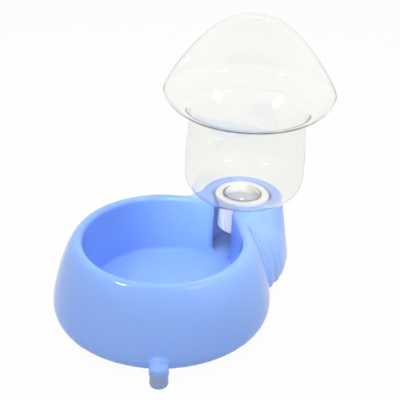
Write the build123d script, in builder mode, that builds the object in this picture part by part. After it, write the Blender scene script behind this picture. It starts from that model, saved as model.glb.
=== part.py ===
from build123d import *
import math
import os

# Gravity drinker for a small dog or a cat: a round bowl with a tower at its back, and a
# mushroom-shaped bottle that stands upside down on the tower, with its cap in the tower's well.
# Millimetres. +Z is up, +Y runs from the bowl to the tower, and the floor is at Z = 0.

os.makedirs("parts", exist_ok=True)

# Bowl. Its basin is a circle that narrows to a throat, where it meets the bottle's well
foot_height = 9.0
bowl_height = 57.0
bowl_edge_radius = 85.3
bowl_bulge = 0.7
bowl_bulge_height = 4.0
bowl_side_rise = 11.4
lip_width = 4.0
lip_flat = 0.4
lip_roll = 7.8
rim_radius = 61.0
rim_round = 3.4
basin_taper = 3.0
basin_floor_height = 5.5
basin_corner = 4.0
wall = 2.4

# Tower with the bottle's well
rim_to_well = 10.6
well_clearance = 2.5
tower_rim = 9.9
tower_flare = 9.0
tower_shoulder_drop = 5.0
tower_shoulder_round = 4.2
throat_width = 21.0
throat_corner = 8.0

# Pleated flare between the bowl and the tower, the same on both sides
pleat_count = 6
pleat_radius = 7.5
pleat_first_angle = -29.0
pleat_last_angle = 17.0
pleat_first_reach = 21.0
pleat_last_reach = 1.6
pleat_reach_power = 1.5
pleat_drop = 6.0
pleat_step_angle = 15.0
flare_crest = 14.0

# Push-in feet
foot_bearings = {"front_foot": 137.0, "side_foot": -103.0}
foot_overhang = 3.7
foot_top_radius = 6.1
foot_flare = 0.6
foot_edge = 0.8
foot_plug_radius = 2.2
foot_plug_clearance = 0.05
foot_plug_proud = 0.7
boss_ledge = 0.9
boss_height = 8.0
boss_dome = 1.6

# Bottle, measured from the underside of its shoulder
seat_clearance = 0.3
bottle_wall = 1.2
bottle_height = 150.4
hat_radius = 68.7
hat_level = 93.3
hat_crown = 34.0
hat_side = 5.5
brim_drop = 8.0
brim_under_level = 76.5
brim_under_reach = 2.8
waist_radius = 48.2
waist_level = 62.6
bulge_radius = 50.1
bulge_level = 31.5
shoulder_reach = 23.0
shoulder_rise = 20.2
dimple_radius = 8.6
dimple_depth = 1.8
dimple_lip = 1.0

# Neck and its screw thread
neck_radius = 16.4
neck_wall = 1.6
neck_length = 12.0
thread_pitch = 4.2
thread_turns = 1.25
thread_lead = 1.5
thread_depth = 1.0
thread_root = 2.0
thread_tip = 1.1
thread_clearance = 0.3
thread_sunk = 0.3

# Cap
cap_top_gap = 0.6
cap_flange_reach = 3.7
cap_flange_height = 5.0
cap_chamfer = 0.6
cap_wall = 1.6
cap_height = 30.2
cap_rib_count = 48
cap_rib_radius = 0.75
cap_nub_count = 4
cap_nub_radius = 1.1
cap_nub_height = 1.5
cap_nub_bearing = 38.0
cap_rim = 2.3
cap_web = 2.0
cap_shelf = 3.2
chamber_depth = 7.6
outlet_radius = 6.0

# Valve
gasket_thickness = 1.8
gasket_clearance = 0.4
gasket_gap = 0.3
guide_flange = 1.6
guide_clearance = 0.8
guide_wall = 1.5
guide_disc = 1.6
guide_window_count = 4
guide_window_width = 9.0
guide_tube_wall = 1.3
guide_tube_gap = 1.5
stem_radius = 2.0
stem_clearance = 0.3
valve_travel = 4.0
valve_seat_gap = 0.1
washer_thickness = 2.0
washer_lap = 2.5
plunger_head_inset = 1.0
plunger_head = 2.0
pin_radius = 2.6
pin_clearance = 0.05
pin_tip_recess = 2.0
washer_bead = 0.5
spring_room = 7.6
spring_clearance = 1.2
spring_wire = 0.5
spring_turns = 4
spring_end_gap = 0.1
post_gap = 0.2
post_top_radius = 3.4
post_foot_radius = 5.2

# Sizes that follow from those above
bowl_bulge_radius = bowl_edge_radius + bowl_bulge
lip_radius = rim_radius + lip_width + lip_flat
boss_radius = foot_top_radius + boss_ledge
foot_bottom_radius = foot_top_radius + foot_flare
cap_bore_radius = neck_radius + thread_depth + thread_clearance
cap_radius = cap_bore_radius + cap_wall
cap_flange_radius = cap_radius + cap_flange_reach
cap_chamber_radius = cap_bore_radius - cap_shelf
cap_recess_radius = cap_radius - cap_rim
gasket_outer_radius = neck_radius
guide_radius = neck_radius - neck_wall - guide_clearance
guide_inner_radius = guide_radius - guide_wall
guide_bore_radius = stem_radius + stem_clearance
guide_tube_radius = guide_bore_radius + guide_tube_wall
spring_radius = guide_tube_radius + spring_wire + spring_clearance
washer_radius = outlet_radius + washer_lap
plunger_head_radius = washer_radius - plunger_head_inset
well_radius = cap_flange_radius + well_clearance
tower_distance = rim_radius + rim_to_well + well_radius
tower_shoulder_radius = well_radius + tower_rim
tower_crest_radius = tower_shoulder_radius - tower_shoulder_round
tower_foot_radius = tower_shoulder_radius + tower_flare

# Heights above the floor
edge_z = foot_height
lip_z = edge_z + bowl_height
floor_z = edge_z + basin_floor_height
bottle_z = lip_z + seat_clearance
neck_end_z = bottle_z - neck_length
cap_top_z = bottle_z - cap_top_gap
cap_bottom_z = cap_top_z - cap_height
gasket_top_z = neck_end_z - gasket_gap
gasket_z = gasket_top_z - gasket_thickness
shelf_z = gasket_z - guide_flange
web_top_z = shelf_z - chamber_depth
washer_z = web_top_z + valve_seat_gap + valve_travel
head_z = washer_z + washer_thickness
head_top_z = head_z + plunger_head
guide_ceiling_z = head_top_z + spring_room
guide_top_z = guide_ceiling_z + guide_disc
pin_tip_z = cap_bottom_z + pin_tip_recess

# Cutting bodies reach this far past what they cut
overcut = 5.0

# Places in plan. The origin is below the middle of the whole object's box.
foot_ring_radius = bowl_edge_radius + foot_overhang
side_foot_reach = boss_radius - foot_ring_radius * math.sin(math.radians(foot_bearings["side_foot"]))
bowl_x = (side_foot_reach - bowl_bulge_radius) / 2
bowl_y = (bowl_bulge_radius - tower_distance - hat_radius) / 2
tower_y = bowl_y + tower_distance
bowl_section = Plane(origin=(bowl_x, bowl_y, 0), x_dir=(1, 0, 0), z_dir=(0, -1, 0))
tower_section = Plane(origin=(bowl_x, tower_y, 0), x_dir=(1, 0, 0), z_dir=(0, -1, 0))
bowl_axis = Axis((bowl_x, bowl_y, 0), (0, 0, 1))
tower_axis = Axis((bowl_x, tower_y, 0), (0, 0, 1))


def level(height):
    """Horizontal plane at a height, with its origin on the tower's axis."""
    return Plane(origin=(bowl_x, tower_y, height))


# Where each foot stands: two on the bowl's edge and one behind the tower
foot_places = {"rear_foot": (bowl_x, tower_y + tower_foot_radius + foot_overhang)}
for foot_name, bearing in foot_bearings.items():
    turn = math.radians(bearing)
    foot_places[foot_name] = (
        bowl_x + foot_ring_radius * math.sin(turn),
        bowl_y + foot_ring_radius * math.cos(turn),
    )


# Base form: the bowl's round body, drawn as half of its section
def draw_bowl_body(inset, bottom_z):
    bulge = bowl_bulge_radius - inset
    top = lip_z - inset
    with BuildSketch(bowl_section) as half:
        with BuildLine():
            Polyline((bulge, edge_z + bowl_bulge_height), (bowl_edge_radius - inset, bottom_z), (0, bottom_z),
                     (0, top), (lip_radius, top))
            Bezier((bulge, edge_z + bowl_bulge_height), (bulge, edge_z + bowl_bulge_height + bowl_side_rise),
                   (lip_radius + lip_roll, top), (lip_radius, top))
        make_face()
    revolve(half.sketch, axis=bowl_axis)


# Base form: the tower's round body
def draw_tower_body(inset, bottom_z):
    shoulder = (tower_shoulder_radius - inset, lip_z - tower_shoulder_drop)
    top = lip_z - inset
    with BuildSketch(tower_section) as half:
        with BuildLine():
            Polyline(shoulder, (tower_foot_radius - inset, bottom_z), (0, bottom_z), (0, top),
                     (tower_crest_radius - inset, top))
            Bezier(shoulder, (tower_shoulder_radius - inset, top - tower_shoulder_drop / 4),
                   ((tower_shoulder_radius + tower_crest_radius) / 2 - inset, top), (tower_crest_radius - inset, top))
        make_face()
    revolve(half.sketch, axis=tower_axis)


# The pleats hang from the point where the bowl and the tower meet, and swing out as they fall
pleat_top = bowl_height - pleat_drop
apex_bowl_radius = lip_radius + lip_roll
apex_y = (apex_bowl_radius**2 - tower_shoulder_radius**2 - tower_distance**2) / (2 * tower_distance)
apex_x = math.sqrt(tower_shoulder_radius**2 - apex_y**2)


def pleat_swing(height):
    """How far out the pleats have swung: 0 at their top and 1 at the bowl's edge."""
    return math.sqrt(1 - (height / pleat_top) ** 2)


def pleat_centre(side, index, height):
    """Middle of one pleat at a height above the bowl's edge, from the tower's axis."""
    share = index / (pleat_count - 1)
    angle = math.radians(pleat_first_angle + (pleat_last_angle - pleat_first_angle) * share)
    spread = (pleat_first_reach - pleat_last_reach) * (1 - share) ** pleat_reach_power
    reach = tower_foot_radius + pleat_last_reach + spread - pleat_radius
    swing = pleat_swing(height)
    x = apex_x + (reach * math.cos(angle) - apex_x) * swing
    y = apex_y + (reach * math.sin(angle) - apex_y) * swing
    return (side * x, y)


def draw_flare(side, heights):
    """Body of the flare through the pleats' middles, at each height above the bowl's edge."""
    sections = []
    for height in heights:
        middles = [pleat_centre(side, index, max(height, 0)) for index in range(pleat_count)]
        with BuildSketch(level(edge_z + height)) as section:
            with BuildLine():
                Polyline((0, -tower_shoulder_radius), *middles, (0, tower_shoulder_radius / 2), close=True)
            make_face()
        sections.append(section.sketch)
    loft(sections, ruled=True)


pleat_levels = [pleat_top * math.sin(math.radians(pleat_step_angle * step)) for step in range(6)]
flare_wall_top = pleat_top - flare_crest
flare_wall_levels = [-overcut, 0, flare_wall_top / 3, flare_wall_top * 2 / 3, flare_wall_top]

with BuildPart() as outer_form:
    draw_bowl_body(0, edge_z)
    draw_tower_body(0, edge_z)
    for side in (-1, 1):
        draw_flare(side, pleat_levels)
        for index in range(pleat_count):
            for height in pleat_levels:
                with BuildSketch(level(edge_z + height)):
                    with Locations(pleat_centre(side, index, height)):
                        Circle(pleat_radius * pleat_swing(height))
            loft()


# Hollow parts of the base: the drinking basin with its throat, and the bottle's well
basin_floor_radius = rim_radius - basin_taper
wall_slope = basin_taper / (lip_z - rim_round - floor_z)
round_steps = 6


def corner_round(share):
    """Point on the rounding between floor and wall: how far out of the wall, and its height."""
    turn = math.radians(90) * share
    return (basin_corner * (math.sin(turn) - 1), floor_z + basin_corner * (1 - math.cos(turn)))


def lip_round(share):
    """Point on the lip's inner rounding: how far out of the wall, and its height."""
    turn = math.radians(90) * share
    return (lip_width * (1 - math.cos(turn)), lip_z - rim_round * (1 - math.sin(turn)))


def draw_basin(levels):
    """The basin through a list of (grow, height) levels. Its outline is a circle whose two tangents
    run towards the well and round into a throat, which is narrowest at the well."""
    corner_x = throat_width / 2 + throat_corner
    corner_y = -math.sqrt(well_radius**2 - (throat_width / 2) ** 2)
    distance = math.hypot(corner_x, corner_y + tower_distance)
    sections = []
    for grow, height in levels:
        basin_radius = min(basin_floor_radius + wall_slope * (height - floor_z), rim_radius) + grow
        corner = throat_corner - grow
        lean = math.atan2(corner_x, corner_y + tower_distance) + math.acos((basin_radius + corner) / distance)
        start = (basin_radius * math.sin(lean), basin_radius * math.cos(lean) - tower_distance)
        bend = (corner_x - corner * math.sin(lean), corner_y - corner * math.cos(lean))
        end = (throat_width / 2 + grow, corner_y)
        back = (throat_width / 2 + grow, -well_radius / 2)
        with BuildSketch(level(height)) as section:
            with BuildLine():
                Line(start, bend)
                RadiusArc(bend, end, corner)
                Polyline(end, back, (-back[0], back[1]), (-end[0], end[1]))
                RadiusArc((-end[0], end[1]), (-bend[0], bend[1]), corner)
                Line((-bend[0], bend[1]), (-start[0], start[1]))
                ThreePointArc((-start[0], start[1]), (0, -basin_radius - tower_distance), start)
            make_face()
        sections.append(section.sketch)
    loft(sections, ruled=True)


def draw_well(grow, top_z):
    with BuildSketch(level(floor_z - grow)) as circle:
        Circle(well_radius + grow)
    extrude(circle.sketch, amount=top_z - floor_z + grow)


above_z = lip_z + overcut

with BuildPart() as cavities:
    draw_basin([*[corner_round(step / round_steps) for step in range(round_steps + 1)],
                *[lip_round(step / round_steps) for step in range(round_steps + 1)], (lip_width, above_z)])
    draw_well(0, above_z)

with BuildPart() as cups:
    draw_basin([(wall, floor_z - wall), (wall, above_z)])
    draw_well(wall, above_z)

with BuildPart() as underside:
    draw_bowl_body(wall, edge_z - overcut)
    draw_tower_body(wall, edge_z - overcut)
    for side in (-1, 1):
        draw_flare(side, flare_wall_levels)
    add(cups.part, mode=Mode.SUBTRACT)

# Base: one moulding with the bowl, the tower, the post that opens the valve and three foot bosses
with BuildPart() as base:
    add(outer_form.part)
    add(underside.part, mode=Mode.SUBTRACT)
    add(cavities.part, mode=Mode.SUBTRACT)
    with BuildSketch(tower_section):
        with BuildLine():
            Polyline((0, floor_z - wall / 2), (post_foot_radius, floor_z - wall / 2),
                     (post_foot_radius, floor_z), (post_top_radius, pin_tip_z - post_gap),
                     (0, pin_tip_z - post_gap), close=True)
        make_face()
    revolve(axis=tower_axis)
    for x, y in foot_places.values():
        with BuildSketch(Plane(origin=(x, y, 0), x_dir=(1, 0, 0), z_dir=(0, -1, 0))):
            with BuildLine():
                Polyline((boss_radius, edge_z + boss_height - boss_dome), (boss_radius, edge_z), (0, edge_z),
                         (0, edge_z + boss_height), (boss_radius - boss_dome, edge_z + boss_height))
                RadiusArc((boss_radius - boss_dome, edge_z + boss_height),
                          (boss_radius, edge_z + boss_height - boss_dome), boss_dome)
            make_face()
        revolve(axis=Axis((x, y, 0), (0, 0, 1)))
        with Locations(Plane(origin=(x, y, edge_z + boss_height))):
            Hole(foot_plug_radius + foot_plug_clearance, depth=boss_height)
base.part.label = "base"
export_step(base.part, "parts/base.step")


# Feet: soft pegs pushed up into the bosses until their plugs show on top
for foot_name, (x, y) in foot_places.items():
    plug_top = edge_z + boss_height + foot_plug_proud
    with BuildPart() as foot:
        with BuildSketch(Plane(origin=(x, y, 0), x_dir=(1, 0, 0), z_dir=(0, -1, 0))):
            with BuildLine():
                Polyline((foot_bottom_radius - foot_edge, 0), (0, 0), (0, plug_top),
                         (foot_plug_radius, plug_top - foot_plug_proud), (foot_plug_radius, edge_z),
                         (foot_top_radius, edge_z), (foot_bottom_radius, foot_edge))
                RadiusArc((foot_bottom_radius, foot_edge), (foot_bottom_radius - foot_edge, 0), foot_edge)
            make_face()
        revolve(axis=Axis((x, y, 0), (0, 0, 1)))
    foot.part.label = foot_name
    export_step(foot.part, f"parts/{foot_name}.step")


# Bottle: blow-moulded in one piece as a mushroom, upside down, with its neck at the bottom
def draw_bottle_body(inset, neck_bottom_z):
    """Half section of the bottle, inset by the wall for its inside."""
    top = bottle_z + bottle_height - inset
    bottom = bottle_z + inset
    hat = hat_radius - inset
    hat_z = bottle_z + hat_level
    brim_z = bottle_z + brim_under_level + inset
    waist = waist_radius - inset
    waist_z = bottle_z + waist_level
    waist_blend_z = (waist_z + brim_z) / 2
    bulge = bulge_radius - inset
    bulge_z = bottle_z + bulge_level
    stem_blend_z = (waist_z + bulge_z) / 2
    shoulder_x = bulge_radius - shoulder_reach
    shoulder_z = bottle_z + shoulder_rise
    neck = neck_radius - (neck_wall if inset else 0)
    dimple_top = (dimple_radius + dimple_lip, top)
    with BuildSketch(tower_section) as half:
        with BuildLine():
            Polyline((shoulder_x, bottom), (neck, bottom), (neck, neck_bottom_z), (0, neck_bottom_z),
                     (0, top - dimple_depth))
            Bezier((0, top - dimple_depth), (dimple_radius, top - dimple_depth),
                   (dimple_radius - dimple_lip, top), dimple_top)
            Bezier(dimple_top, (hat_crown, top), (hat, hat_z + hat_side), (hat, hat_z))
            Bezier((hat, hat_z), (hat, hat_z - brim_drop), (waist + brim_under_reach * 2, brim_z),
                   (waist + brim_under_reach, brim_z))
            Bezier((waist + brim_under_reach, brim_z), (waist, brim_z), (waist, waist_blend_z),
                   (waist, waist_z))
            Bezier((waist, waist_z), (waist, stem_blend_z), (bulge, stem_blend_z), (bulge, bulge_z))
            Line((bulge, bulge_z), (bulge, shoulder_z))
            EllipticalCenterArc((shoulder_x, shoulder_z), bulge - shoulder_x, shoulder_rise - inset,
                                start_angle=-90, arc_size=90)
        make_face()
    revolve(half.sketch, axis=tower_axis)


def draw_thread(radius, depth, bottom_z, inward):
    """Screw ridge on a round wall: a tapered ridge carried along a helix."""
    reach = -1 if inward else 1
    rise = thread_pitch * thread_turns
    start = Plane(origin=(bowl_x + radius, tower_y, bottom_z), x_dir=(1, 0, 0), z_dir=(0, -1, 0))
    with BuildLine(Plane(origin=(bowl_x, tower_y, bottom_z))) as path:
        Helix(pitch=thread_pitch, height=rise, radius=radius)
    with BuildSketch(start) as ridge:
        with BuildLine():
            Polyline((-reach * thread_sunk, -thread_root / 2), (reach * depth, -thread_tip / 2),
                     (reach * depth, thread_tip / 2), (-reach * thread_sunk, thread_root / 2), close=True)
        make_face()
    sweep(ridge.sketch, path=path.line, is_frenet=True)


neck_thread_z = neck_end_z + thread_lead

with BuildPart() as bottle_inside:
    draw_bottle_body(bottle_wall, neck_end_z - overcut)

with BuildPart() as bottle:
    draw_bottle_body(0, neck_end_z)
    draw_thread(neck_radius, thread_depth, neck_thread_z, inward=False)
    add(bottle_inside.part, mode=Mode.SUBTRACT)
bottle.part.label = "bottle"
export_step(bottle.part, "parts/bottle.step")


# Cap: screwed onto the neck, ribbed outside for grip, with the valve's outlet in its web
cap_thread_z = neck_thread_z + thread_pitch / 2

with BuildPart() as cap:
    with BuildSketch(tower_section):
        with BuildLine():
            Polyline((cap_bore_radius, cap_top_z), (cap_bore_radius, shelf_z), (cap_chamber_radius, shelf_z),
                     (cap_chamber_radius, web_top_z), (outlet_radius, web_top_z),
                     (outlet_radius, web_top_z - cap_web), (cap_recess_radius, web_top_z - cap_web),
                     (cap_recess_radius, cap_bottom_z), (cap_radius, cap_bottom_z),
                     (cap_radius, cap_top_z - cap_flange_height),
                     (cap_flange_radius, cap_top_z - cap_flange_height), (cap_flange_radius, cap_top_z),
                     close=True)
        make_face()
    revolve(axis=tower_axis)
    outer_rim = cap.edges().filter_by(GeomType.CIRCLE).sort_by(SortBy.RADIUS)[-2:]
    chamfer(outer_rim, length=cap_chamfer)
    with BuildSketch(level(cap_bottom_z)):
        with PolarLocations(cap_radius, cap_rib_count):
            Circle(cap_rib_radius)
    extrude(amount=cap_top_z - cap_flange_height - cap_bottom_z)
    nub_ring = (cap_recess_radius + cap_radius) / 2
    with BuildSketch(level(cap_bottom_z)):
        with PolarLocations(nub_ring, cap_nub_count, start_angle=cap_nub_bearing):
            Circle(cap_nub_radius)
    extrude(amount=-cap_nub_height)
    draw_thread(cap_bore_radius, thread_depth, cap_thread_z, inward=True)
cap.part.label = "cap"
export_step(cap.part, "parts/cap.step")


def draw_ring(inner, outer, low, high):
    """Flat ring on the tower's axis."""
    with BuildSketch(level(low)) as ring:
        Circle(outer)
        Circle(inner, mode=Mode.SUBTRACT)
    extrude(ring.sketch, amount=high - low)


# Gasket: soft ring between the neck's end and the valve guide's flange
with BuildPart() as gasket:
    draw_ring(guide_radius + gasket_clearance, gasket_outer_radius, gasket_z, gasket_top_z)
gasket.part.label = "gasket"
export_step(gasket.part, "parts/gasket.step")


# Valve guide: cage that stands up inside the neck, with a tube that guides the plunger's stem
window_low_z = gasket_top_z
window_high_z = guide_ceiling_z - guide_wall

with BuildPart() as valve_guide:
    draw_ring(guide_inner_radius, gasket_outer_radius, shelf_z, gasket_z)
    draw_ring(guide_inner_radius, guide_radius, gasket_z, guide_ceiling_z)
    draw_ring(guide_bore_radius, guide_radius, guide_ceiling_z, guide_top_z)
    draw_ring(guide_bore_radius, guide_tube_radius, head_top_z + guide_tube_gap, guide_ceiling_z)
    with BuildSketch(level(window_low_z)):
        with PolarLocations(guide_radius, guide_window_count):
            Rectangle(guide_radius, guide_window_width)
    extrude(amount=window_high_z - window_low_z, mode=Mode.SUBTRACT)
valve_guide.part.label = "valve_guide"
export_step(valve_guide.part, "parts/valve_guide.step")


# Plunger: its pin stands on the base's post, which holds the washer off its seat
with BuildPart() as plunger:
    with BuildSketch(tower_section):
        with BuildLine():
            Polyline((0, pin_tip_z), (pin_radius / 2, pin_tip_z), (pin_radius, pin_tip_z + pin_radius / 2),
                     (pin_radius, washer_z - 2 * washer_bead),
                     (pin_radius + washer_bead, washer_z - washer_bead), (pin_radius + washer_bead, washer_z),
                     (pin_radius, washer_z), (pin_radius, head_z), (plunger_head_radius, head_z),
                     (plunger_head_radius, head_top_z), (stem_radius, head_top_z), (stem_radius, guide_top_z),
                     (0, guide_top_z), close=True)
        make_face()
    revolve(axis=tower_axis)
plunger.part.label = "plunger"
export_step(plunger.part, "parts/plunger.step")


# Washer: soft seal below the plunger's head
with BuildPart() as washer:
    draw_ring(pin_radius + pin_clearance, washer_radius, washer_z, head_z)
washer.part.label = "washer"
export_step(washer.part, "parts/washer.step")


# Spring: pushes the plunger down when the bottle is lifted off
spring_low_z = head_top_z + spring_end_gap + spring_wire
spring_high_z = guide_ceiling_z - spring_end_gap - spring_wire
spring_start = Plane(origin=(bowl_x + spring_radius, tower_y, spring_low_z), x_dir=(1, 0, 0), z_dir=(0, -1, 0))

with BuildPart() as spring:
    with BuildLine(Plane(origin=(bowl_x, tower_y, spring_low_z))) as coil:
        Helix(pitch=(spring_high_z - spring_low_z) / spring_turns, height=spring_high_z - spring_low_z,
              radius=spring_radius)
    with BuildSketch(spring_start) as wire:
        Circle(spring_wire)
    sweep(wire.sketch, path=coil.line, is_frenet=True)
spring.part.label = "spring"
export_step(spring.part, "parts/spring.step")
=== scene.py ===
# %% [markdown]
# # A gravity drinker for a small pet
#
# The object is a blue moulded bowl with a tower behind it. A clear bottle in the shape of a mushroom
# stands upside down on the tower, and its white cap hangs in a well that opens into the bowl.
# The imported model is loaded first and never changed. Everything below is placed from its boxes, in
# metres, with +Z up and +Y running from the bowl to the tower.

# %% Load the fixed frame
import bpy
import math
import numpy as np
from mathutils import Matrix, Vector


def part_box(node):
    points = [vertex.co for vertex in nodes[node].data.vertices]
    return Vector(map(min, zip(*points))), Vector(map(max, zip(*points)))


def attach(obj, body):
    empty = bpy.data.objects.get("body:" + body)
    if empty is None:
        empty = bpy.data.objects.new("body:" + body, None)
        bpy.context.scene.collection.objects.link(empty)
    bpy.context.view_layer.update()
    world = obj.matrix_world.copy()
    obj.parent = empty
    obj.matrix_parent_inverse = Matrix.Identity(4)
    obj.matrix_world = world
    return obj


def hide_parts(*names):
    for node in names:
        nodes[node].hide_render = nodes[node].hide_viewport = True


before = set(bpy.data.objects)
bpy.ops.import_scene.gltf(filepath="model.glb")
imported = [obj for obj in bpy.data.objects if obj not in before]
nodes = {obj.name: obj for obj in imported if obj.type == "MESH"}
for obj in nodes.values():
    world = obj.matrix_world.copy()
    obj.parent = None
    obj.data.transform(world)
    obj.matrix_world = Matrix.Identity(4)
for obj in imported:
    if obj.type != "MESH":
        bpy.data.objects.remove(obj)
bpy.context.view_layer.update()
print("nodes:", ", ".join(sorted(nodes)))

# %% [markdown]
# ## Where the main forms stand
#
# Two upright axes order the whole object: the bowl's and the tower's. They could be typed in, but a
# number that is read from the frame stays right when the model is packed again. The bottle is round,
# so the middle of its box is the tower's axis. The bowl's axis lies one bowl radius inside the base's
# box, on the sides where nothing else sticks out.

# %% Axes and levels
BOWL_RADIUS = 0.086

base_low, base_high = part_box("base")
bottle_low, bottle_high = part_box("bottle")
bowl_axis = Vector((base_high.x - BOWL_RADIUS, base_low.y + BOWL_RADIUS, 0))
tower_axis = Vector(((bottle_low.x + bottle_high.x) / 2, (bottle_low.y + bottle_high.y) / 2, 0))
edge_level = base_low.z
lip_level = base_high.z
print(f"bowl axis {bowl_axis.x:.4f} {bowl_axis.y:.4f}, tower axis {tower_axis.x:.4f} {tower_axis.y:.4f}")
print(f"the skirt's edge is at {edge_level:.4f} and the lip at {lip_level:.4f}")

# %% [markdown]
# ## The camera
#
# The photograph looks down on the bowl from its right front corner. Its angle, distance and lens were
# worked out from the curves of the bowl's edge and the bottle's outline. The camera is written as an
# angle round the object, an angle above the floor and a distance, because those can be checked by eye,
# and its small roll is the tilt of the hand-held shot.

# %% Camera
VIEW_BEARING = math.radians(40.8)
VIEW_HEIGHT = math.radians(28.3)
VIEW_ROLL = math.radians(2.1)
VIEW_DISTANCE = 0.5422
VIEW_TARGET = Vector((-0.0136, 0.0575, 0.0601))
LENS = 58.5
SENSOR = 36.0
NEAREST_SHOWN = 0.01


def make_camera():
    """Camera that looks along +Y turned by the bearing, and down by the height."""
    forward = Vector((-math.sin(VIEW_BEARING) * math.cos(VIEW_HEIGHT),
                      math.cos(VIEW_BEARING) * math.cos(VIEW_HEIGHT), -math.sin(VIEW_HEIGHT)))
    right = forward.cross(Vector((0, 0, 1))).normalized()
    up = right.cross(forward)
    rolled_right = right * math.cos(VIEW_ROLL) + up * math.sin(VIEW_ROLL)
    rolled_up = up * math.cos(VIEW_ROLL) - right * math.sin(VIEW_ROLL)
    data = bpy.data.cameras.new("camera")
    data.sensor_width = SENSOR
    data.lens = LENS
    data.clip_start = NEAREST_SHOWN
    camera = bpy.data.objects.new("camera", data)
    bpy.context.scene.collection.objects.link(camera)
    turn = Matrix((rolled_right, rolled_up, -forward)).transposed().to_4x4()
    place = bowl_axis + VIEW_TARGET + Vector((0, 0, edge_level)) - forward * VIEW_DISTANCE
    camera.matrix_world = Matrix.Translation(place) @ turn
    bpy.context.scene.camera = camera
    return camera


camera = make_camera()
print("camera at", [round(v, 3) for v in camera.matrix_world.translation])

# %% [markdown]
# ## Helpers for shader nodes
#
# A material in Blender is a small graph. Three short helpers keep the recipes below readable: one adds
# a node and fills in its sockets, one adds a Math node, and one starts a node group with its inputs and
# outputs. A group can be placed in many materials, and each of them writes its own values on it.

# %% Node helpers
def add_node(tree, kind, **sockets):
    """New node with values written on its sockets. Underscores in a socket's name stand for spaces."""
    node = tree.nodes.new(kind)
    for name, value in sockets.items():
        node.inputs[name.replace("_", " ")].default_value = value
    return node


def add_math(tree, operation, first, second, clamp=False):
    """Output of a Math node. Each side is the output of another node or a plain number."""
    node = tree.nodes.new("ShaderNodeMath")
    node.operation = operation
    node.use_clamp = clamp
    for socket, side in zip(node.inputs, (first, second)):
        if isinstance(side, bpy.types.NodeSocket):
            tree.links.new(side, socket)
        else:
            socket.default_value = side
    return node.outputs[0]


def new_group(name, inputs, outputs):
    """Empty shader node group with named float and colour sockets."""
    tree = bpy.data.node_groups.new(name, "ShaderNodeTree")
    for label, kind, value in inputs:
        socket = tree.interface.new_socket(label, in_out="INPUT", socket_type=kind)
        socket.default_value = value
    for label, kind in outputs:
        tree.interface.new_socket(label, in_out="OUTPUT", socket_type=kind)
    return tree, tree.nodes.new("NodeGroupInput"), tree.nodes.new("NodeGroupOutput")


# %% [markdown]
# ## Effect: moulded skin
#
# Injection-moulded plastic is never quite even. Pigment drifts a little over the hand's breadth, the
# gloss has a faint haze, the mould leaves a fine grain, and slow waves of shrinkage bend the
# reflections. One group makes all four from noise in the object's own space, so that each plastic
# can ask for its own share of them.

# %% Node group: moulded skin
def build_moulded_skin():
    """Group that gives an uneven colour, roughness and height."""
    tree, source, result = new_group(
        "moulded_skin",
        [("Color", "NodeSocketColor", (0.5, 0.5, 0.5, 1)), ("Drift", "NodeSocketFloat", 0.05),
         ("Roughness", "NodeSocketFloat", 0.3), ("Haze", "NodeSocketFloat", 0.08),
         ("Grain", "NodeSocketFloat", 0.1), ("Shrink", "NodeSocketFloat", 0.1)],
        [("Color", "NodeSocketColor"), ("Roughness", "NodeSocketFloat"), ("Height", "NodeSocketFloat")])
    link = tree.links.new
    where = add_node(tree, "ShaderNodeTexCoord")

    def noise_around_zero(share, **sockets):
        """Noise between -0.5 and 0.5, times a share from the group's inputs."""
        noise = add_node(tree, "ShaderNodeTexNoise", **sockets)
        link(where.outputs["Object"], noise.inputs["Vector"])
        centred = add_math(tree, "SUBTRACT", noise.outputs["Fac"], 0.5)
        return add_math(tree, "MULTIPLY", centred, source.outputs[share])

    drift = noise_around_zero("Drift", Scale=22.0, Detail=2.0, Roughness=0.5)
    haze = noise_around_zero("Haze", Scale=55.0, Detail=4.0, Roughness=0.6)
    grain = noise_around_zero("Grain", Scale=2600.0, Detail=2.0, Roughness=0.5)
    shrink = noise_around_zero("Shrink", Scale=38.0, Detail=0.0)
    tint = add_node(tree, "ShaderNodeVectorMath")
    tint.operation = "SCALE"
    link(source.outputs["Color"], tint.inputs[0])
    link(add_math(tree, "ADD", drift, 1.0), tint.inputs["Scale"])
    link(tint.outputs[0], result.inputs["Color"])
    link(add_math(tree, "ADD", source.outputs["Roughness"], haze, clamp=True), result.inputs["Roughness"])
    link(add_math(tree, "ADD", grain, shrink), result.inputs["Height"])
    return tree


moulded_skin = build_moulded_skin()
print("node group", moulded_skin.name, "with", len(moulded_skin.nodes), "nodes")

# %% [markdown]
# ## Effect: rubbed edges
#
# Where a moulding is handled and where it meets the floor, its gloss goes first. Cycles knows how
# sharply the surface bends at each point, so a mask of the convex edges, broken up with noise, can
# raise the roughness there and lift the colour a little.

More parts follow.
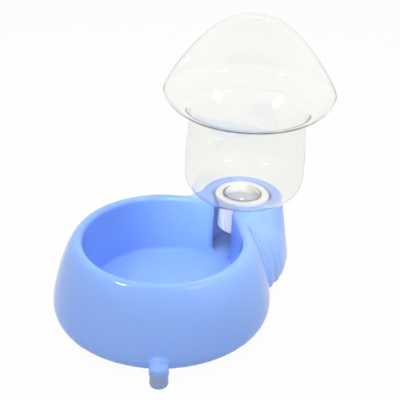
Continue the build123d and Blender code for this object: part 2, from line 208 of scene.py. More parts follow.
# %% Node group: rubbed edges
def build_rubbed_edges():
    """Group that dulls and lightens the convex edges."""
    tree, source, result = new_group(
        "rubbed_edges",
        [("Color", "NodeSocketColor", (0.5, 0.5, 0.5, 1)), ("Roughness", "NodeSocketFloat", 0.3),
         ("Amount", "NodeSocketFloat", 0.3), ("Lift", "NodeSocketFloat", 0.1)],
        [("Color", "NodeSocketColor"), ("Roughness", "NodeSocketFloat")])
    link = tree.links.new
    bend = add_node(tree, "ShaderNodeNewGeometry")
    edges = add_node(tree, "ShaderNodeMapRange", From_Min=0.53, From_Max=0.62)
    link(bend.outputs["Pointiness"], edges.inputs["Value"])
    where = add_node(tree, "ShaderNodeTexCoord")
    breaks = add_node(tree, "ShaderNodeTexNoise", Scale=160.0, Detail=4.0, Roughness=0.7)
    link(where.outputs["Object"], breaks.inputs["Vector"])
    patches = add_node(tree, "ShaderNodeMapRange", From_Min=0.4, From_Max=0.65)
    link(breaks.outputs["Fac"], patches.inputs["Value"])
    worn = add_math(tree, "MULTIPLY", edges.outputs["Result"], patches.outputs["Result"])
    mask = add_math(tree, "MULTIPLY", worn, source.outputs["Amount"])
    lighter = add_node(tree, "ShaderNodeMix")
    lighter.data_type = "RGBA"
    link(add_math(tree, "MULTIPLY", mask, source.outputs["Lift"]), lighter.inputs["Factor"])
    link(source.outputs["Color"], lighter.inputs["A"])
    lighter.inputs["B"].default_value = (1, 1, 1, 1)
    link(lighter.outputs["Result"], result.inputs["Color"])
    link(add_math(tree, "ADD", source.outputs["Roughness"], mask, clamp=True), result.inputs["Roughness"])
    return tree


rubbed_edges = build_rubbed_edges()
print("node group", rubbed_edges.name, "with", len(rubbed_edges.nodes), "nodes")

# %% [markdown]
# ## Plastics
#
# All the opaque pieces are moulded, so one function places the two effects in a material and leaves
# the shader itself to its own sockets. What tells the plastics apart is colour, gloss and how deep
# light goes in: the base is a glossy tinted resin in which light wanders a few millimetres, blue the
# furthest, which is why its recesses look a purer blue than its rim.

# %% Material maker for moulded plastic
GLOW_WEIGHT = 0.35
GLOW_BY_COLOUR = (0.15, 0.35, 1.0)
RELIEF_DEPTH = 0.0004


def moulded_plastic(name, color, roughness, skin, wear=(0.3, 0.1), depth=0.0, **sockets):
    """Plastic from the two effects. depth is how far light wanders in it.

    skin holds the shares of drift, haze, grain and shrink. wear holds amount and lift.
    """
    material = bpy.data.materials.new(name)
    material.use_nodes = True
    tree = material.node_tree
    link = tree.links.new
    shader = tree.nodes["Principled BSDF"]
    for socket, value in sockets.items():
        shader.inputs[socket.replace("_", " ")].default_value = value
    surface = add_node(tree, "ShaderNodeGroup")
    surface.node_tree = moulded_skin
    surface.inputs["Color"].default_value = (*color, 1)
    surface.inputs["Roughness"].default_value = roughness
    for label, value in zip(("Drift", "Haze", "Grain", "Shrink"), skin):
        surface.inputs[label].default_value = value
    rubbed = add_node(tree, "ShaderNodeGroup")
    rubbed.node_tree = rubbed_edges
    rubbed.inputs["Amount"].default_value = wear[0]
    rubbed.inputs["Lift"].default_value = wear[1]
    relief = add_node(tree, "ShaderNodeBump", Strength=1.0, Distance=RELIEF_DEPTH)
    link(surface.outputs["Color"], rubbed.inputs["Color"])
    link(surface.outputs["Roughness"], rubbed.inputs["Roughness"])
    link(surface.outputs["Height"], relief.inputs["Height"])
    link(rubbed.outputs["Color"], shader.inputs["Base Color"])
    link(rubbed.outputs["Roughness"], shader.inputs["Roughness"])
    link(relief.outputs["Normal"], shader.inputs["Normal"])
    if depth:
        shader.inputs["Subsurface Weight"].default_value = GLOW_WEIGHT
        shader.inputs["Subsurface Radius"].default_value = GLOW_BY_COLOUR
        shader.inputs["Subsurface Scale"].default_value = depth
    return material


# %% The opaque plastics and the seal rubber
blue_gloss = moulded_plastic("blue_gloss", (0.245, 0.42, 0.92), 0.11, (0.04, 0.05, 0.01, 0.3),
                             wear=(0.06, 0.04), depth=0.003, IOR=1.49)
blue_satin = moulded_plastic("blue_satin", (0.28, 0.38, 0.64), 0.42, (0.08, 0.10, 0.25, 0.2), IOR=1.47)
white_ribbed = moulded_plastic("white_ribbed", (0.80, 0.79, 0.81), 0.30, (0.03, 0.08, 0.08, 0.3),
                               wear=(0.2, 0.05), depth=0.002, IOR=1.49)
white_valve = moulded_plastic("white_valve", (0.84, 0.84, 0.86), 0.34, (0.03, 0.08, 0.08, 0.2), IOR=1.49)
grey_guide = moulded_plastic("grey_guide", (0.42, 0.45, 0.48), 0.36, (0.04, 0.08, 0.10, 0.3), IOR=1.49)
seal_rubber = moulded_plastic("seal_silicone", (0.72, 0.72, 0.69), 0.62, (0.10, 0.12, 0.5, 0.1),
                              wear=(0.1, 0.0), depth=0.001, IOR=1.41)
plastics = (blue_gloss, blue_satin, white_ribbed, white_valve, grey_guide, seal_rubber)
print("plastics:", ", ".join(material.name for material in plastics))

# %% [markdown]
# ## Spring wire
#
# The spring is drawn stainless wire. Drawing leaves faint lines along the wire, so its noise is
# stretched, and the metal is otherwise plain.

# %% Material: drawn steel
def build_drawn_steel():
    """Metal whose gloss changes in thin lines."""
    material = bpy.data.materials.new("drawn_steel")
    material.use_nodes = True
    tree = material.node_tree
    link = tree.links.new
    shader = tree.nodes["Principled BSDF"]
    shader.inputs["Base Color"].default_value = (0.62, 0.62, 0.64, 1)
    shader.inputs["Metallic"].default_value = 1.0
    where = add_node(tree, "ShaderNodeTexCoord")
    stretch = add_node(tree, "ShaderNodeMapping", Scale=(1, 1, 40))
    lines = add_node(tree, "ShaderNodeTexNoise", Scale=900.0, Detail=3.0)
    rough = add_node(tree, "ShaderNodeMapRange", To_Min=0.22, To_Max=0.42)
    link(where.outputs["Object"], stretch.inputs["Vector"])
    link(stretch.outputs["Vector"], lines.inputs["Vector"])
    link(lines.outputs["Fac"], rough.inputs["Value"])
    link(rough.outputs["Result"], shader.inputs["Roughness"])
    return material


drawn_steel = build_drawn_steel()
print("metal:", drawn_steel.name)

# %% [markdown]
# ## Clear bottle plastic
#
# The bottle is blown from clear resin, with a faint warm grey-green cast. Its wall has a thickness in
# the mesh, so part of the cast can be what it is in the resin, an absorption that grows with the
# light's way through it. That is why the outline of a clear bottle is darker than its middle. The hat
# is blown wider than the stem and its wall gets thinner, so the surface's own tint is fainter there.
# Blowing also leaves slow waves and a trace of haze. A path tracer would give a clear wall a solid
# shadow, so rays that look for a lamp mostly pass through it.

# %% Clear plastic: tint by height
STEM_TINT = (0.932, 0.938, 0.920, 1)
HAT_TINT = (0.984, 0.984, 0.967, 1)
STEM_TINT_TOP = 0.125
HAT_TINT_BOTTOM = 0.175


def tint_by_height(tree, where):
    """Colour that fades from the stem's tint to the hat's."""
    level = add_node(tree, "ShaderNodeSeparateXYZ")
    up_the_bottle = add_node(tree, "ShaderNodeMapRange", From_Min=STEM_TINT_TOP, From_Max=HAT_TINT_BOTTOM)
    tint = add_node(tree, "ShaderNodeMix")
    tint.data_type = "RGBA"
    tint.inputs["A"].default_value = STEM_TINT
    tint.inputs["B"].default_value = HAT_TINT
    tree.links.new(where.outputs["Object"], level.inputs[0])
    tree.links.new(level.outputs["Z"], up_the_bottle.inputs["Value"])
    tree.links.new(up_the_bottle.outputs["Result"], tint.inputs["Factor"])
    return tint.outputs["Result"]


# %% Clear plastic: haze and waves
WAVE_STRETCH = (1, 1, 0.35)
WAVE_DEPTH = 0.0003
MOST_HAZE = 0.03


def haze_and_waves(tree, where):
    """Roughness with a trace of haze, and a normal with slow waves."""
    stretch = add_node(tree, "ShaderNodeMapping", Scale=WAVE_STRETCH)
    waves = add_node(tree, "ShaderNodeTexNoise", Scale=60.0, Detail=1.0)
    haze = add_node(tree, "ShaderNodeTexNoise", Scale=140.0, Detail=3.0)
    rough = add_node(tree, "ShaderNodeMapRange", To_Min=0.0, To_Max=MOST_HAZE)
    relief = add_node(tree, "ShaderNodeBump", Strength=0.25, Distance=WAVE_DEPTH)
    tree.links.new(where.outputs["Object"], stretch.inputs["Vector"])
    tree.links.new(stretch.outputs["Vector"], waves.inputs["Vector"])
    tree.links.new(where.outputs["Object"], haze.inputs["Vector"])
    tree.links.new(haze.outputs["Fac"], rough.inputs["Value"])
    tree.links.new(waves.outputs["Fac"], relief.inputs["Height"])
    return rough.outputs["Result"], relief.outputs["Normal"]


# %% Material: clear blown plastic
RESIN_COLOUR = (0.50, 0.51, 0.34, 1)
RESIN_DENSITY = 16.0
SHADOW_TINT = (0.98, 0.98, 0.975, 1)


def build_clear_blown():
    """Clear plastic with the resin's absorption inside and a light shadow."""
    material = bpy.data.materials.new("clear_blown")
    material.use_nodes = True
    tree = material.node_tree
    link = tree.links.new
    shader = tree.nodes["Principled BSDF"]
    shader.inputs["Transmission Weight"].default_value = 0.985
    shader.inputs["IOR"].default_value = 1.45
    output = tree.nodes["Material Output"]
    resin = add_node(tree, "ShaderNodeVolumeAbsorption", Color=RESIN_COLOUR, Density=RESIN_DENSITY)
    link(resin.outputs["Volume"], output.inputs["Volume"])
    rays = add_node(tree, "ShaderNodeLightPath")
    through = add_node(tree, "ShaderNodeBsdfTransparent", Color=SHADOW_TINT)
    either = add_node(tree, "ShaderNodeMixShader")
    link(rays.outputs["Is Shadow Ray"], either.inputs["Fac"])
    link(shader.outputs["BSDF"], either.inputs[1])
    link(through.outputs["BSDF"], either.inputs[2])
    link(either.outputs["Shader"], output.inputs["Surface"])
    where = add_node(tree, "ShaderNodeTexCoord")
    rough, normal = haze_and_waves(tree, where)
    link(tint_by_height(tree, where), shader.inputs["Base Color"])
    link(rough, shader.inputs["Roughness"])
    link(normal, shader.inputs["Normal"])
    return material


clear_blown = build_clear_blown()
print("clear plastic:", clear_blown.name, "with", len(clear_blown.node_tree.nodes), "nodes")

# %% [markdown]
# ## The pieces that keep their solid's shape
#
# The cap and what it holds are small and crisp, and the imported solids already have their ribs, windows
# and coils. They could be modelled again as meshes, but nothing would be gained: they only need a
# finish. The pieces of one plastic share one material.

# %% Finish the imported pieces
FINISHES = {
    "cap": (white_ribbed, "white_plastic"),
    "valve_guide": (grey_guide, "grey_plastic"),
    "plunger": (white_valve, "white_plastic"),
    "gasket": (seal_rubber, "seal_rubber"),
    "washer": (seal_rubber, "seal_rubber"),
    "spring": (drawn_steel, "spring_steel"),
}

for name, (material, slot) in FINISHES.items():
    piece = nodes[name]
    piece.data.materials.clear()
    piece.data.materials.append(material)
print("finished", len(FINISHES), "packed pieces")

# %% [markdown]
# ## The base's skin
#
# The base is one moulding, and on the real one the lip doesn't stop where the bowl meets the tower: it
# widens and flows into the tower's top, and a soft fillet with a few flutes runs down the corner. The
# packed base has that corner with hard creases, as solids built from circles do. Fillets could be cut
# by hand into its mesh, but a corner where several surfaces meet is tedious. Here a filler is laid into
# each corner, both are remeshed into one even skin of small cells, and the skin is then smoothed: a
# little everywhere, and much more in the corners.
#
# First the outlines that the fillers need: how wide the bowl and the tower are at each level. Both
# sides are cubic curves, as in the solid.

# %% Sides of the bowl and the tower
AXES_APART = (tower_axis - bowl_axis).length
BOWL_SIDE = ((BOWL_RADIUS, 0.013), (BOWL_RADIUS, 0.0244), (0.0732, lip_level), (0.0654, lip_level))
TOWER_FOOT_RADIUS = 0.0444
SHOULDER_RADIUS = 0.0354
SHOULDER_LEVEL = 0.061
SHOULDER_SIDE = ((SHOULDER_RADIUS, SHOULDER_LEVEL), (SHOULDER_RADIUS, 0.06475),
                 (0.0333, lip_level), (0.0312, lip_level))
SIDE_STEPS = 60


def curve(points, steps):
    """Points on a cubic curve, from after its start to its end."""
    a, b, c, d = (np.array(p) for p in points)
    shares = [step / steps for step in range(1, steps + 1)]
    return [tuple(a * (1 - s) ** 3 + 3 * b * s * (1 - s) ** 2 + 3 * c * s * s * (1 - s) + d * s**3)
            for s in shares]


def radius_at(side, level):
    """Radius of a side drawn as a cubic curve through (radius, height) points, at one level."""
    radii, heights = zip(side[0], *curve(side, SIDE_STEPS))
    return float(np.interp(level, heights, radii))


def bowl_radius(level):
    """Radius of the bowl's outside."""
    return radius_at(BOWL_SIDE, level)


def tower_radius(level):
    """Radius of the tower's outside: a cone with a rounded shoulder."""
    if level > SHOULDER_LEVEL:
        return radius_at(SHOULDER_SIDE, level)
    return float(np.interp(level, [edge_level, SHOULDER_LEVEL], [TOWER_FOOT_RADIUS, SHOULDER_RADIUS]))


print(f"axes {AXES_APART:.4f} apart")
print(f"radii at the lip: bowl {bowl_radius(lip_level):.4f}, tower {tower_radius(lip_level):.4f}")

# %% [markdown]
# A filler must not close the opening, which is the basin, the throat and the well in one. Seen from
# above it is two circles that a straight passage with rounded corners joins, and the rounded lip makes
# it a little wider towards the top. One function gives half its width.

# %% The opening
RIM_RADIUS = 0.061
THROAT_HALF = 0.0105
THROAT_CORNER = 0.008
WELL_RADIUS = 0.0255
LIP_DROP = 0.0034
LIP_WIDTH = 0.004


def opening_half_width(y, level):
    """Half the width of basin, throat and well at a distance y behind the tower's axis."""
    share = min(max((level - lip_level + LIP_DROP) / LIP_DROP, 0), 1)
    grow = LIP_WIDTH * (1 - math.sqrt(1 - share * share))
    basin, corner = RIM_RADIUS + grow, THROAT_CORNER - grow
    corner_x = THROAT_HALF + THROAT_CORNER
    corner_y = -math.sqrt(WELL_RADIUS**2 - THROAT_HALF**2)
    reach = math.hypot(corner_x, corner_y + AXES_APART)
    lean = math.atan2(corner_x, corner_y + AXES_APART) + math.acos((basin + corner) / reach)
    start = (basin * math.sin(lean), basin * math.cos(lean) - AXES_APART)
    bend = (corner_x - corner * math.sin(lean), corner_y - corner * math.cos(lean))
    if y > corner_y:
        return math.sqrt(max(WELL_RADIUS**2 - y * y, 0))
    if y > bend[1]:
        return corner_x - math.sqrt(max(corner**2 - (y - corner_y) ** 2, 0))
    if y > start[1]:
        return float(np.interp(y, [start[1], bend[1]], [start[0], bend[0]]))
    return math.sqrt(max(basin**2 - (y + AXES_APART) ** 2, 0))


print(f"the well is {2 * opening_half_width(0, edge_level):.4f} wide")

# %% [markdown]
# The filler is drawn level by level. At each level the bowl and the tower are circles, and an arc that
# touches both closes the corner between them. The arc is small at the skirt's edge and grows upwards,
# and the filler bites a little into both forms, so that the remesh finds one body.

# %% Section of a filler
FILLET_LEVELS = (0.009, 0.030, 0.048, 0.056, 0.066)
FILLET_RADII = (0.002, 0.008, 0.015, 0.019, 0.020)
FILLER_BITE = 0.001
FILLER_THINNEST = 0.0002
FILLER_STEPS = 28


def filler_section(level):
    """The corner between bowl and tower at one level, as (x, y) points seen from the tower's axis."""
    bowl, tower = bowl_radius(level), tower_radius(level)
    fillet = float(np.interp(level, FILLET_LEVELS, FILLET_RADII))
    middle_y = ((bowl + fillet) ** 2 - (tower + fillet) ** 2 - AXES_APART**2) / (2 * AXES_APART)
    middle_x = math.sqrt((tower + fillet) ** 2 - middle_y**2)
    first = middle_y - fillet * (middle_y + AXES_APART) / (bowl + fillet)
    last = middle_y - fillet * middle_y / (tower + fillet)
    outer, inner = [], []
    for step in range(FILLER_STEPS + 1):
        y = first + (last - first) * step / FILLER_STEPS
        outer.append((middle_x - math.sqrt(max(fillet**2 - (y - middle_y) ** 2, 0)), y))
        inside_bowl = math.sqrt(max((bowl - FILLER_BITE) ** 2 - (y + AXES_APART) ** 2, 0))
        inside_tower = math.sqrt(max((tower - FILLER_BITE) ** 2 - y * y, 0))
        bound = max(inside_bowl, inside_tower, opening_half_width(y, level))
        inner.append((min(bound, outer[-1][0] - FILLER_THINNEST), y))
    return [*outer, *reversed(inner)]


print("points in a section:", len(filler_section(FILLET_LEVELS[1])))

# %% Mesh of a filler
SIDE_LEVELS = [0.012 + 0.003 * step for step in range(17)]
LIP_LEVELS = [0.0625, 0.0631, 0.0637, 0.0643, 0.0648, 0.0653, 0.0657, 0.0659, lip_level - 1e-5]


def filler_mesh(side):
    """Vertices and faces of one corner's filler. side is 1 or -1."""
    levels = [level for level in SIDE_LEVELS + LIP_LEVELS if level < lip_level]
    levels.sort()
    vertices, faces = [], []
    for level in levels:
        vertices += [(tower_axis.x + side * x, tower_axis.y + y, level) for x, y in filler_section(level)]
    around = len(vertices) // len(levels)
    for row in range(len(levels) - 1):
        for step in range(around):
            after = (step + 1) % around
            faces.append((row * around + step, row * around + after,
                          (row + 1) * around + after, (row + 1) * around + step)[::side])
    for row, turn in ((0, -side), (len(levels) - 1, side)):
        start, end = row * around, (row + 1) * around
        for step in range(around // 2 - 1):
            faces.append((start + step, start + step + 1, end - 2 - step, end - 1 - step)[::turn])
    return vertices, faces


fillers = [filler_mesh(1), filler_mesh(-1)]
print("fillers:", [len(faces) for vertices, faces in fillers], "faces")

# %% [markdown]
# Each foot is pushed onto a boss, and above the cup the boss ends in a dome. A dome is round, so its
# profile is copied round the foot's axis and each copy is joined to the next. Where the profile meets
# the axis, the ring shrinks to one point and closes as a fan.

# %% Turn a profile round an axis
ON_AXIS = 1e-6


def turned(profile, axis, segments):
    """Vertices and faces turned from (radius, height) points that start and end on the axis."""
    vertices, rings, faces = [], [], []
    for radius, height in profile:
        if radius < ON_AXIS:
            rings.append([len(vertices)] * segments)
            vertices.append((axis.x, axis.y, height))
            continue
        rings.append([len(vertices) + step for step in range(segments)])
        vertices += [(axis.x + radius * math.cos(2 * math.pi * step / segments),
                      axis.y + radius * math.sin(2 * math.pi * step / segments), height)
                     for step in range(segments)]
    for low, high in zip(rings, rings[1:]):
        for step in range(segments):
            after = (step + 1) % segments
            faces.append(tuple(dict.fromkeys((low[step], low[after], high[after], high[step]))))
    return vertices, faces


# %% Domes over the foot bosses
FEET = ("front_foot", "side_foot", "rear_foot")
DOME_RADIUS = 0.0069
DOME_LEVEL = 0.0135
DOME_RISE = 0.0062
DOME_SUNK = 0.003
DOME_DEGREES = range(0, 91, 9)
DOME_SEGMENTS = 48


def middle_of(node):
    """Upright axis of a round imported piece."""
    low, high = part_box(node)
    return Vector(((low.x + high.x) / 2, (low.y + high.y) / 2, 0))


dome_profile = [(0, DOME_LEVEL - DOME_SUNK), (DOME_RADIUS, DOME_LEVEL - DOME_SUNK)]
dome_profile += [(DOME_RADIUS * math.cos(math.radians(turn)),
                  DOME_LEVEL + DOME_RISE * math.sin(math.radians(turn))) for turn in DOME_DEGREES]
domes = [turned(dome_profile, middle_of(foot), DOME_SEGMENTS) for foot in FEET]
print("domes:", len(domes), "of", len(domes[0][1]), "faces")

# %% [markdown]
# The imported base, the fillers and the domes are now laid into one mesh. They still cut through each
# other, and that is no harm, because the remesh only asks what is inside and what is outside.

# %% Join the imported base, the fillers and the domes
def joined_mesh(name, parts):
    """One mesh from several lists of vertices and faces."""
    vertices, faces = [], []
    for part_vertices, part_faces in parts:
        faces += [tuple(corner + len(vertices) for corner in face) for face in part_faces]
        vertices += [tuple(vertex) for vertex in part_vertices]
    mesh = bpy.data.meshes.new(name)
    mesh.from_pydata(vertices, [], faces)
    return mesh


packed = nodes["base"].data
packed_vertices = [vertex.co for vertex in packed.vertices]
packed_faces = [tuple(face.vertices) for face in packed.polygons]
rough_base = joined_mesh("rough_base", [(packed_vertices, packed_faces), *fillers, *domes])
print("base with its fillers:", len(rough_base.polygons), "faces")

# %% [markdown]
# Remesh and Smooth are modifiers, so the piece is handed to them and the result is taken back as a
# plain mesh. The strong smoothing reads a vertex group, which says how near to a corner each vertex is.
# It fades out below the lip, which would sink where it was smoothed as much.

# %% Smoothing: where and how much
CELL = 0.0009
SMOOTH_FACTOR = 0.5
EVEN_PASSES = 10
CORNER_PASSES = 70
CORNER_MIDDLE = Vector((0.050, -0.004, 0.030))
CORNER_REACH = Vector((0.032, 0.046, 0.050))
LIP_KEPT = 0.0615
LIP_FADE = 0.006
WEIGHT_STEPS = 10


def modify(piece, kind, **settings):
    """Applies one modifier to a piece and gives it the new mesh."""
    modifier = piece.modifiers.new(kind.lower(), kind)
    for name, value in settings.items():
        setattr(modifier, name, value)
    graph = bpy.context.evaluated_depsgraph_get()
    graph.update()
    mesh = bpy.data.meshes.new_from_object(piece.evaluated_get(graph))
    piece.modifiers.clear()
    piece.data = mesh


def corner_weights(mesh):
    """1 in the middle of a corner, 0 outside its reach. Both corners are alike, so x is mirrored."""
    places = np.empty(3 * len(mesh.vertices))
    mesh.vertices.foreach_get("co", places)
    places = places.reshape(-1, 3) - np.array((tower_axis.x, tower_axis.y, 0))
    places[:, 0] = np.abs(places[:, 0])
    away = np.linalg.norm((places - np.array(CORNER_MIDDLE)) / np.array(CORNER_REACH), axis=1)
    below_lip = np.clip((LIP_KEPT - places[:, 2]) / LIP_FADE, 0.0, 1.0)
    return np.clip(2.0 * (1.0 - away), 0.0, 1.0) * below_lip


# %% One skin from base, fillers and domes
base_shell = bpy.data.objects.new("base_shell", rough_base)
bpy.context.scene.collection.objects.link(base_shell)
modify(base_shell, "REMESH", mode="VOXEL", voxel_size=CELL, adaptivity=0.0)
modify(base_shell, "SMOOTH", factor=SMOOTH_FACTOR, iterations=EVEN_PASSES)
corners = base_shell.vertex_groups.new(name="corners")
weights = corner_weights(base_shell.data)
for step in range(1, WEIGHT_STEPS + 1):
    near = np.nonzero(np.ceil(weights * WEIGHT_STEPS) == step)[0]
    corners.add([int(index) for index in near], step / WEIGHT_STEPS, "REPLACE")
modify(base_shell, "SMOOTH", factor=SMOOTH_FACTOR, iterations=CORNER_PASSES, vertex_group="corners")
base_shell.vertex_groups.clear()
base_shell.data.name = "base_shell"
base_shell.data.shade_smooth()
base_shell.data.materials.clear()
base_shell.data.materials.append(blue_gloss)
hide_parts("base")
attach(base_shell, "base")
print("base shell:", len(base_shell.data.polygons), "faces")

# %% [markdown]
# ## The bottle
#
# Clear plastic shows every facet, inside and out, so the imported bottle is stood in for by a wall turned
# from a smooth profile. Its curves are cubic, as in the solid, and each is sampled finely before it is
# turned round the tower's axis. Heights are measured from the underside of the shoulder, which sits on
# the tower, and the same function draws the outside and, with an inset, the inside.

# %% Sizes of the bottle
BOTTLE_HEIGHT = 0.1504
BOTTLE_WALL = 0.0007
HAT_RADIUS = 0.06868
HAT_LEVEL = 0.0933
HAT_CROWN = 0.034
HAT_SIDE = 0.0055
BRIM_DROP = 0.008
BRIM_UNDER_LEVEL = 0.0765
BRIM_UNDER_REACH = 0.0045
WAIST_RADIUS = 0.0482
WAIST_LEVEL = 0.0626
BULGE_RADIUS = 0.0501
BULGE_LEVEL = 0.0315
SHOULDER_REACH = 0.023
SHOULDER_RISE = 0.0202
DIMPLE_RADIUS = 0.0086
DIMPLE_DEPTH = 0.0010
DIMPLE_LIP = 0.003
NECK_RADIUS = 0.0164
NECK_WALL = 0.0012

neck_end = bottle_low.z
seat_level = bottle_high.z - BOTTLE_HEIGHT
print(f"the neck ends at {neck_end:.4f} and the shoulder sits at {seat_level:.4f}")

# %% Profile of the bottle
SHOULDER_STEPS = 24
STEM_STEPS = 16
BRIM_STEPS = 28
HAT_STEPS = 44
DIMPLE_STEPS = 12
FLAT_MARGIN = 0.0006


def bottle_profile(inset):
    """Radius and height from the foot of the neck to the middle of the dimple."""
    top = BOTTLE_HEIGHT - inset
    hat = HAT_RADIUS - inset
    waist = WAIST_RADIUS - inset
    bulge = BULGE_RADIUS - inset
    brim = BRIM_UNDER_LEVEL + inset
    neck = NECK_RADIUS - (NECK_WALL if inset else 0)
    shoulder = BULGE_RADIUS - SHOULDER_REACH
    waist_blend = (WAIST_LEVEL + brim) / 2
    stem_blend = (WAIST_LEVEL + BULGE_LEVEL) / 2
    points = [(neck, inset), (neck + FLAT_MARGIN, inset),
              (shoulder - FLAT_MARGIN, inset), (shoulder, inset)]
    for step in range(1, SHOULDER_STEPS + 1):
        turn = math.radians(90 * step / SHOULDER_STEPS)
        points.append((shoulder + (bulge - shoulder) * math.sin(turn),
                       SHOULDER_RISE - (SHOULDER_RISE - inset) * math.cos(turn)))
    points += [(bulge, (SHOULDER_RISE + BULGE_LEVEL) / 2), (bulge, BULGE_LEVEL)]
    points += curve([(bulge, BULGE_LEVEL), (bulge, stem_blend),
                     (waist, stem_blend), (waist, WAIST_LEVEL)], STEM_STEPS)
    points += curve([(waist, WAIST_LEVEL), (waist, waist_blend),
                     (waist, brim), (waist + BRIM_UNDER_REACH, brim)], STEM_STEPS)
    points += curve([(waist + BRIM_UNDER_REACH, brim), (waist + 2 * BRIM_UNDER_REACH, brim),
                     (hat, HAT_LEVEL - BRIM_DROP), (hat, HAT_LEVEL)], BRIM_STEPS)
    points += curve([(hat, HAT_LEVEL), (hat, HAT_LEVEL + HAT_SIDE),
                     (HAT_CROWN, top), (DIMPLE_RADIUS + DIMPLE_LIP, top)], HAT_STEPS)
    points += curve([(DIMPLE_RADIUS + DIMPLE_LIP, top), (DIMPLE_RADIUS - DIMPLE_LIP, top),
                     (DIMPLE_RADIUS, top - DIMPLE_DEPTH), (0, top - DIMPLE_DEPTH)], DIMPLE_STEPS)
    return [(radius, seat_level + height) for radius, height in points]


outside = bottle_profile(0.0)
inside = bottle_profile(BOTTLE_WALL)
print("bottle profile:", len(outside), "points outside and", len(inside), "inside")

# %% [markdown]
# The wall's two skins meet at the end of the neck, where the lip is slightly rounded, so the inside is
# drawn in the other order: down from the crown, round the lip, and up the outside.

# %% Build the bottle's wall
BOTTLE_SEGMENTS = 192
LIP_ROUND = 0.0004


def turned_piece(name, profile, axis, segments):
    """Closed piece turned from a profile of (radius, height) points."""
    vertices, faces = turned(profile, axis, segments)
    mesh = bpy.data.meshes.new(name)
    mesh.from_pydata(vertices, [], faces)
    mesh.validate()
    mesh.shade_smooth()
    piece = bpy.data.objects.new(name, mesh)
    bpy.context.scene.collection.objects.link(piece)
    return piece


def neck_side(radius):
    """The two ends of the neck's straight side."""
    return [(radius, neck_end + LIP_ROUND), (radius, seat_level - LIP_ROUND)]


bore = NECK_RADIUS - NECK_WALL
outer_skin = [*neck_side(NECK_RADIUS), *outside]
inner_skin = [*neck_side(bore), *inside]
neck_lip = [(bore + LIP_ROUND, neck_end), (NECK_RADIUS - LIP_ROUND, neck_end)]
wall_profile = [*reversed(inner_skin), *neck_lip, *outer_skin]
bottle_shell = turned_piece("bottle_shell", wall_profile, tower_axis, BOTTLE_SEGMENTS)
bottle_shell.data.materials.append(clear_blown)
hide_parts("bottle")
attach(bottle_shell, "bottle")
print("bottle shell:", len(bottle_shell.data.polygons), "faces")

# %% [markdown]
# ## The feet
#
# Each foot is a soft cup that is pushed over its boss from below, and the end of its pin shows in the
# middle of the boss's dome. A foot is round as well, so it is one more profile: out and up the peg, over
# the collar, up the cup, in to the pin, and up to the pin's end, which is measured from the dome's top.

# %% Profile of a foot
PEG = [(0, 0), (0.0059, 0), (0.0065, 0.0003), (0.0067, 0.0010), (0.0063, 0.0070)]
COLLAR = [(0.0063, 0.0082), (0.0066, 0.0088), (0.0070, 0.0092)]
CUP = [(0.0070, 0.0118), (0.0064, 0.0123), (0.0016, 0.0123)]
PIN_END = [(0.0016, -0.0002), (0.0013, 0.0001), (0, 0.0001)]

dome_top = DOME_LEVEL + DOME_RISE
foot_profile = [*PEG, *COLLAR, *CUP, *((radius, dome_top + height) for radius, height in PIN_END)]
print("foot profile:", len(foot_profile), "points, up to", round(foot_profile[-1][1], 4))

# %% Build the feet
FOOT_SEGMENTS = 64
FOOT_CREASE = math.radians(40)

for foot in FEET:
    cup = turned_piece(foot + "_cup", foot_profile, middle_of(foot), FOOT_SEGMENTS)
    cup.data.set_sharp_from_angle(angle=FOOT_CREASE)
    cup.data.materials.append(blue_satin)
    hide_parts(foot)
    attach(cup, "base")
print("feet:", ", ".join(FEET))

# %% [markdown]
# ## Floor and world
#
# The object stands on a white floor in soft light. What the camera sees of floor and world is a plain
# white, and so is what clear plastic and gloss show of them, while the light on the object comes from a
# dimmer dome and from lamps. A small share of the floor stays matt, which keeps the object's shadow. The
# floor shows from above only, so that the underside of the object can be looked at from below.

# %% Rays that see the white
def sees_white(tree, rays):
    """1 for camera rays and rays through clear plastic or off gloss, 0 for rays that carry light."""
    seen = add_math(tree, "MAXIMUM", rays.outputs["Is Camera Ray"], rays.outputs["Is Transmission Ray"])
    return add_math(tree, "MAXIMUM", seen, rays.outputs["Is Glossy Ray"])


# %% Floor
WHITE = (1, 1, 1, 1)
WHITE_SHARE = 0.965
FLOOR_GREY = (0.6, 0.6, 0.6, 1)
FLOOR_REACH = 3.0


def build_floor():
    """Large white square below the object."""
    material = bpy.data.materials.new("white_floor")
    material.use_nodes = True
    tree = material.node_tree
    tree.nodes.clear()
    link = tree.links.new
    rays = add_node(tree, "ShaderNodeLightPath")
    matt = add_node(tree, "ShaderNodeBsdfDiffuse", Color=FLOOR_GREY)
    bright = add_node(tree, "ShaderNodeEmission", Color=WHITE, Strength=1.0)
    blend = add_node(tree, "ShaderNodeMixShader")
    side = add_node(tree, "ShaderNodeNewGeometry")
    nothing = add_node(tree, "ShaderNodeBsdfTransparent")
    one_sided = add_node(tree, "ShaderNodeMixShader")
    output = add_node(tree, "ShaderNodeOutputMaterial")
    link(add_math(tree, "MULTIPLY", sees_white(tree, rays), WHITE_SHARE), blend.inputs["Fac"])
    link(matt.outputs[0], blend.inputs[1])
    link(bright.outputs[0], blend.inputs[2])
    link(side.outputs["Backfacing"], one_sided.inputs["Fac"])
    link(blend.outputs[0], one_sided.inputs[1])
    link(nothing.outputs[0], one_sided.inputs[2])
    link(one_sided.outputs[0], output.inputs["Surface"])
    corners = [(-FLOOR_REACH, -FLOOR_REACH, 0), (FLOOR_REACH, -FLOOR_REACH, 0),
               (FLOOR_REACH, FLOOR_REACH, 0), (-FLOOR_REACH, FLOOR_REACH, 0)]
    mesh = bpy.data.meshes.new("floor")
    mesh.from_pydata(corners, [], [(0, 1, 2, 3)])
    mesh.materials.append(material)
    floor = bpy.data.objects.new("floor", mesh)
    bpy.context.scene.collection.objects.link(floor)
    return floor


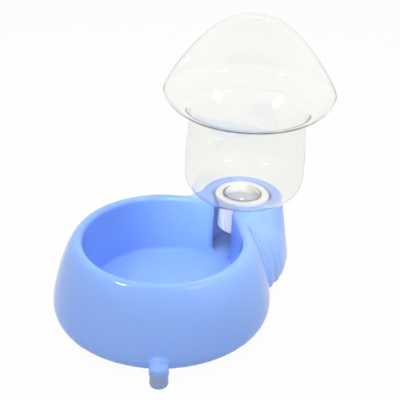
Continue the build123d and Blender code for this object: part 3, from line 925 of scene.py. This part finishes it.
floor = build_floor()
print("floor:", round(floor.dimensions.x, 1), "m wide")

# %% [markdown]
# The world is a dim dome for the light and a bright one for what is seen. Through the bottle and in the
# gloss the bright dome is greyer overhead. A curved clear edge bends the view up there, and that is
# what draws its thin outline.

# %% World
DOME_STRENGTH = 0.34
OVERHEAD_GREY = 0.7
GREY_STARTS = 0.45
GREY_FULL = 0.9


def build_world():
    """White where the camera looks past the object, and a dim dome as a source of light."""
    world = bpy.data.worlds.new("studio")
    bpy.context.scene.world = world
    world.use_nodes = True
    tree = world.node_tree
    tree.nodes.clear()
    link = tree.links.new
    rays = add_node(tree, "ShaderNodeLightPath")
    where = add_node(tree, "ShaderNodeTexCoord")
    split = add_node(tree, "ShaderNodeSeparateXYZ")
    overhead = add_node(tree, "ShaderNodeMapRange", From_Min=GREY_STARTS, From_Max=GREY_FULL,
                        To_Min=1.0, To_Max=OVERHEAD_GREY)
    shown = add_node(tree, "ShaderNodeBackground", Color=WHITE)
    dome = add_node(tree, "ShaderNodeBackground", Color=WHITE, Strength=DOME_STRENGTH)
    blend = add_node(tree, "ShaderNodeMixShader")
    output = add_node(tree, "ShaderNodeOutputWorld")
    link(where.outputs["Generated"], split.inputs[0])
    link(split.outputs["Z"], overhead.inputs["Value"])
    link(add_math(tree, "MAXIMUM", rays.outputs["Is Camera Ray"], overhead.outputs["Result"]),
         shown.inputs["Strength"])
    link(sees_white(tree, rays), blend.inputs["Fac"])
    link(dome.outputs[0], blend.inputs[1])
    link(shown.outputs[0], blend.inputs[2])
    link(blend.outputs[0], output.inputs["Surface"])
    return world


world = build_world()
print("world:", world.name, "with", len(world.node_tree.nodes), "nodes")

# %% [markdown]
# ## Lamps
#
# Four large soft lamps give the light: one on each side of the camera, one overhead and one behind. They
# are hidden from gloss and clear plastic, which would otherwise show their faces as pale squares. Two
# small lamps are left to be seen, because a gloss lives on small highlights. The last one stands for a
# lamp with a grid: its narrow beam lights the tower and the well, and nothing else.

# %% Lamps
LAMP_DISTANCE = 1.2
AIMED_AT = Vector((0, 0, 0.08))
SOFTBOXES = (("left_softbox", -18, 48, 0.7, 2.0), ("right_softbox", 88, 48, 0.7, 1.9),
             ("top_softbox", 20, 82, 0.9, 8.3), ("back_softbox", 200, 55, 0.7, 2.8))
SPARK_SIZE = (0.26, 0.09)
SPARK_POWER = 2.0
SPARKS = (("left_spark", -14, 44), ("right_spark", 86, 43))
GRID_SPREAD = math.radians(12)


def aim_lamp(name, bearing, height, size, power, distance=LAMP_DISTANCE):
    """Area lamp that faces the object from a bearing and a height above the floor, in degrees."""
    turn, rise = math.radians(bearing), math.radians(height)
    offset = Vector((math.sin(turn) * math.cos(rise), -math.cos(turn) * math.cos(rise), math.sin(rise)))
    data = bpy.data.lights.new(name, "AREA")
    data.shape = "RECTANGLE"
    data.size, data.size_y = size
    data.energy = power
    lamp = bpy.data.objects.new(name, data)
    bpy.context.scene.collection.objects.link(lamp)
    facing = offset.to_track_quat("Z", "Y").to_matrix().to_4x4()
    lamp.matrix_world = Matrix.Translation(AIMED_AT + offset * distance) @ facing
    return lamp


def hide_face(lamp):
    """Leaves a lamp's light and takes its face out of gloss and clear plastic."""
    lamp.visible_glossy = False
    lamp.visible_transmission = False


for name, bearing, height, width, power in SOFTBOXES:
    hide_face(aim_lamp(name, bearing, height, (width, width), power))
for name, bearing, height in SPARKS:
    aim_lamp(name, bearing, height, SPARK_SIZE, SPARK_POWER)
tower_lamp = aim_lamp("tower_lamp", 38, 32, size=(0.10, 0.10), power=0.06, distance=0.9)
tower_lamp.location += tower_axis
tower_lamp.data.spread = GRID_SPREAD
hide_face(tower_lamp)
print("lamps:", len(SOFTBOXES), "soft,", len(SPARKS), "small and one with a grid")

# %% [markdown]
# ## Colours as computed
#
# Colours are shown as they are computed, without a film look.

# %% Colours as computed
scene = bpy.context.scene
scene.view_settings.view_transform = "Standard"
